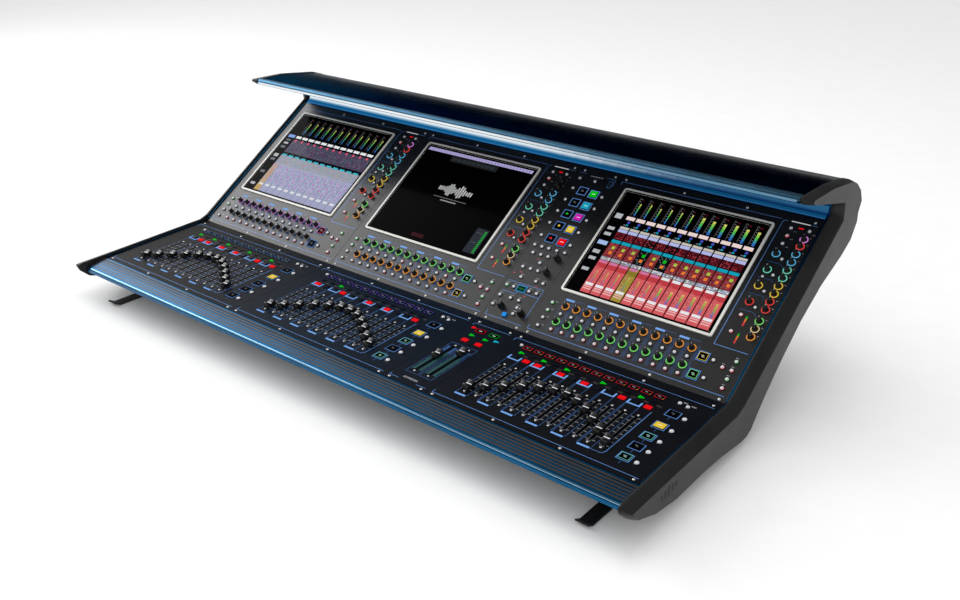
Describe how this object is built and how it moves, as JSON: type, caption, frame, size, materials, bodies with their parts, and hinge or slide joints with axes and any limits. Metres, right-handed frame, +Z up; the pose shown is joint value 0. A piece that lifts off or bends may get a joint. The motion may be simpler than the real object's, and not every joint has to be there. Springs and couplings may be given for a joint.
{
  "type": "mixing console",
  "caption": "Digital audio mixing console with touchscreens, motorised faders and a hooded light cove; stands on a table.",
  "frame": {"origin": "on the table under the middle of the console, bottom centre of its bounding box", "axes": "+X to the operator's right, +Y to the back, +Z up"},
  "size_m": [1.488, 0.826, 0.4165],
  "materials": {
    "dark_steel": "satin powder coat",
    "housing_metal": "dark powder coat",
    "bare_metal": "plain sheet",
    "blue_anodised": "brushed and anodised blue",
    "moulded_black": "fine moulded texture",
    "panel_black": "satin black anodised with printed lines",
    "screen_frame": "silver bezel",
    "fader_cap": "satin moulded",
    "key_plastic": "translucent",
    "display_glass": "backlit display window",
    "screw_steel": "plated",
    "black_rubber": "matte"
  },
  "bodies": {
    "console": {"chassis": "housing_metal", "power_supply": "bare_metal", "armrest": "blue_anodised", "light_cove": "blue_anodised", "hood": "blue_anodised", "cheek_left": "moulded_black", "cheek_right": "moulded_black", "front_foot_left": "dark_steel", "front_foot_right": "dark_steel", "deck_panel_left": "panel_black", "deck_panel_centre": "panel_black", "deck_panel_master": "panel_black", "deck_panel_right": "panel_black", "screen_panel_left": "panel_black", "screen_panel_centre": "panel_black", "screen_panel_master": "panel_black", "screen_panel_right": "panel_black", "touchscreen_left": "screen_frame", "touchscreen_centre": "screen_frame", "touchscreen_right": "screen_frame"},
    "fader_left_1": {"fader_left_1": "fader_cap"},
    "fader_left_2": {"fader_left_2": "fader_cap"},
    "fader_left_3": {"fader_left_3": "fader_cap"},
    "fader_left_4": {"fader_left_4": "fader_cap"},
    "fader_left_5": {"fader_left_5": "fader_cap"},
    "fader_left_6": {"fader_left_6": "fader_cap"},
    "fader_left_7": {"fader_left_7": "fader_cap"},
    "fader_left_8": {"fader_left_8": "fader_cap"},
    "fader_left_9": {"fader_left_9": "fader_cap"},
    "fader_left_10": {"fader_left_10": "fader_cap"},
    "fader_left_11": {"fader_left_11": "fader_cap"},
    "fader_left_12": {"fader_left_12": "fader_cap"},
    "fader_centre_1": {"fader_centre_1": "fader_cap"},
    "fader_centre_2": {"fader_centre_2": "fader_cap"},
    "fader_centre_3": {"fader_centre_3": "fader_cap"},
    "fader_centre_4": {"fader_centre_4": "fader_cap"},
    "fader_centre_5": {"fader_centre_5": "fader_cap"},
    "fader_centre_6": {"fader_centre_6": "fader_cap"},
    "fader_centre_7": {"fader_centre_7": "fader_cap"},
    "fader_centre_8": {"fader_centre_8": "fader_cap"},
    "fader_centre_9": {"fader_centre_9": "fader_cap"},
    "fader_centre_10": {"fader_centre_10": "fader_cap"},
    "fader_centre_11": {"fader_centre_11": "fader_cap"},
    "fader_centre_12": {"fader_centre_12": "fader_cap"},
    "fader_right_1": {"fader_right_1": "fader_cap"},
    "fader_right_2": {"fader_right_2": "fader_cap"},
    "fader_right_3": {"fader_right_3": "fader_cap"},
    "fader_right_4": {"fader_right_4": "fader_cap"},
    "fader_right_5": {"fader_right_5": "fader_cap"},
    "fader_right_6": {"fader_right_6": "fader_cap"},
    "fader_right_7": {"fader_right_7": "fader_cap"},
    "fader_right_8": {"fader_right_8": "fader_cap"},
    "fader_right_9": {"fader_right_9": "fader_cap"},
    "fader_right_10": {"fader_right_10": "fader_cap"},
    "fader_right_11": {"fader_right_11": "fader_cap"},
    "fader_right_12": {"fader_right_12": "fader_cap"},
    "fader_master_1": {"fader_master_1": "fader_cap"},
    "fader_master_2": {"fader_master_2": "fader_cap"},
    "monitor_level_knob": {"monitor_level_knob": "fader_cap"},
    "talkback_button": {"talkback_button": "key_plastic"}
  },
  "joints": [
    {"name": "fader_left_1_slide", "type": "slide", "parent": "console", "child": "fader_left_1", "axis": [0, 0.9995, 0.0314], "range_m": [-0.00452, 0.09548]},
    {"name": "fader_left_2_slide", "type": "slide", "parent": "console", "child": "fader_left_2", "axis": [0, 0.9995, 0.0314], "range_m": [-0.01874, 0.08126]},
    {"name": "fader_left_3_slide", "type": "slide", "parent": "console", "child": "fader_left_3", "axis": [0, 0.9995, 0.0314], "range_m": [-0.03848, 0.06152]},
    {"name": "fader_left_4_slide", "type": "slide", "parent": "console", "child": "fader_left_4", "axis": [0, 0.9995, 0.0314], "range_m": [-0.05824, 0.04176]},
    {"name": "fader_left_5_slide", "type": "slide", "parent": "console", "child": "fader_left_5", "axis": [0, 0.9995, 0.0314], "range_m": [-0.0743, 0.0257]},
    {"name": "fader_left_6_slide", "type": "slide", "parent": "console", "child": "fader_left_6", "axis": [0, 0.9995, 0.0314], "range_m": [-0.08395, 0.01605]},
    {"name": "fader_left_7_slide", "type": "slide", "parent": "console", "child": "fader_left_7", "axis": [0, 0.9995, 0.0314], "range_m": [-0.08562, 0.01438]},
    {"name": "fader_left_8_slide", "type": "slide", "parent": "console", "child": "fader_left_8", "axis": [0, 0.9995, 0.0314], "range_m": [-0.07905, 0.02095]},
    {"name": "fader_left_9_slide", "type": "slide", "parent": "console", "child": "fader_left_9", "axis": [0, 0.9995, 0.0314], "range_m": [-0.06528, 0.03472]},
    {"name": "fader_left_10_slide", "type": "slide", "parent": "console", "child": "fader_left_10", "axis": [0, 0.9995, 0.0314], "range_m": [-0.04661, 0.05339]},
    {"name": "fader_left_11_slide", "type": "slide", "parent": "console", "child": "fader_left_11", "axis": [0, 0.9995, 0.0314], "range_m": [-0.02635, 0.07365]},
    {"name": "fader_left_12_slide", "type": "slide", "parent": "console", "child": "fader_left_12", "axis": [0, 0.9995, 0.0314], "range_m": [-0.00897, 0.09103]},
    {"name": "fader_centre_1_slide", "type": "slide", "parent": "console", "child": "fader_centre_1", "axis": [0, 0.9995, 0.0314], "range_m": [-0.00452, 0.09548]},
    {"name": "fader_centre_2_slide", "type": "slide", "parent": "console", "child": "fader_centre_2", "axis": [0, 0.9995, 0.0314], "range_m": [-0.01874, 0.08126]},
    {"name": "fader_centre_3_slide", "type": "slide", "parent": "console", "child": "fader_centre_3", "axis": [0, 0.9995, 0.0314], "range_m": [-0.03848, 0.06152]},
    {"name": "fader_centre_4_slide", "type": "slide", "parent": "console", "child": "fader_centre_4", "axis": [0, 0.9995, 0.0314], "range_m": [-0.05824, 0.04176]},
    {"name": "fader_centre_5_slide", "type": "slide", "parent": "console", "child": "fader_centre_5", "axis": [0, 0.9995, 0.0314], "range_m": [-0.0743, 0.0257]},
    {"name": "fader_centre_6_slide", "type": "slide", "parent": "console", "child": "fader_centre_6", "axis": [0, 0.9995, 0.0314], "range_m": [-0.08395, 0.01605]},
    {"name": "fader_centre_7_slide", "type": "slide", "parent": "console", "child": "fader_centre_7", "axis": [0, 0.9995, 0.0314], "range_m": [-0.08562, 0.01438]},
    {"name": "fader_centre_8_slide", "type": "slide", "parent": "console", "child": "fader_centre_8", "axis": [0, 0.9995, 0.0314], "range_m": [-0.07905, 0.02095]},
    {"name": "fader_centre_9_slide", "type": "slide", "parent": "console", "child": "fader_centre_9", "axis": [0, 0.9995, 0.0314], "range_m": [-0.06528, 0.03472]},
    {"name": "fader_centre_10_slide", "type": "slide", "parent": "console", "child": "fader_centre_10", "axis": [0, 0.9995, 0.0314], "range_m": [-0.04661, 0.05339]},
    {"name": "fader_centre_11_slide", "type": "slide", "parent": "console", "child": "fader_centre_11", "axis": [0, 0.9995, 0.0314], "range_m": [-0.02635, 0.07365]},
    {"name": "fader_centre_12_slide", "type": "slide", "parent": "console", "child": "fader_centre_12", "axis": [0, 0.9995, 0.0314], "range_m": [-0.00897, 0.09103]},
    {"name": "fader_right_1_slide", "type": "slide", "parent": "console", "child": "fader_right_1", "axis": [0, 0.9995, 0.0314], "range_m": [-0.00452, 0.09548]},
    {"name": "fader_right_2_slide", "type": "slide", "parent": "console", "child": "fader_right_2", "axis": [0, 0.9995, 0.0314], "range_m": [-0.01874, 0.08126]},
    {"name": "fader_right_3_slide", "type": "slide", "parent": "console", "child": "fader_right_3", "axis": [0, 0.9995, 0.0314], "range_m": [-0.03848, 0.06152]},
    {"name": "fader_right_4_slide", "type": "slide", "parent": "console", "child": "fader_right_4", "axis": [0, 0.9995, 0.0314], "range_m": [-0.05824, 0.04176]},
    {"name": "fader_right_5_slide", "type": "slide", "parent": "console", "child": "fader_right_5", "axis": [0, 0.9995, 0.0314], "range_m": [-0.0743, 0.0257]},
    {"name": "fader_right_6_slide", "type": "slide", "parent": "console", "child": "fader_right_6", "axis": [0, 0.9995, 0.0314], "range_m": [-0.08395, 0.01605]},
    {"name": "fader_right_7_slide", "type": "slide", "parent": "console", "child": "fader_right_7", "axis": [0, 0.9995, 0.0314], "range_m": [-0.08562, 0.01438]},
    {"name": "fader_right_8_slide", "type": "slide", "parent": "console", "child": "fader_right_8", "axis": [0, 0.9995, 0.0314], "range_m": [-0.07905, 0.02095]},
    {"name": "fader_right_9_slide", "type": "slide", "parent": "console", "child": "fader_right_9", "axis": [0, 0.9995, 0.0314], "range_m": [-0.06528, 0.03472]},
    {"name": "fader_right_10_slide", "type": "slide", "parent": "console", "child": "fader_right_10", "axis": [0, 0.9995, 0.0314], "range_m": [-0.04661, 0.05339]},
    {"name": "fader_right_11_slide", "type": "slide", "parent": "console", "child": "fader_right_11", "axis": [0, 0.9995, 0.0314], "range_m": [-0.02635, 0.07365]},
    {"name": "fader_right_12_slide", "type": "slide", "parent": "console", "child": "fader_right_12", "axis": [0, 0.9995, 0.0314], "range_m": [-0.00897, 0.09103]},
    {"name": "fader_master_1_slide", "type": "slide", "parent": "console", "child": "fader_master_1", "axis": [0, 0.9995, 0.0314], "range_m": [-0.056, 0.044]},
    {"name": "fader_master_2_slide", "type": "slide", "parent": "console", "child": "fader_master_2", "axis": [0, 0.9995, 0.0314], "range_m": [-0.088, 0.012]},
    {"name": "monitor_level_turn", "type": "hinge", "parent": "console", "child": "monitor_level_knob", "pos_m": [0.253, -0.02413, 0.1157], "axis": [0, -0.5446, 0.8387], "range_deg": [-150, 150]},
    {"name": "talkback_press", "type": "slide", "parent": "console", "child": "talkback_button", "axis": [0, 0.5446, -0.8387], "range_m": [0, 0.0015], "stiffness_N_per_m": 300}
  ]
}
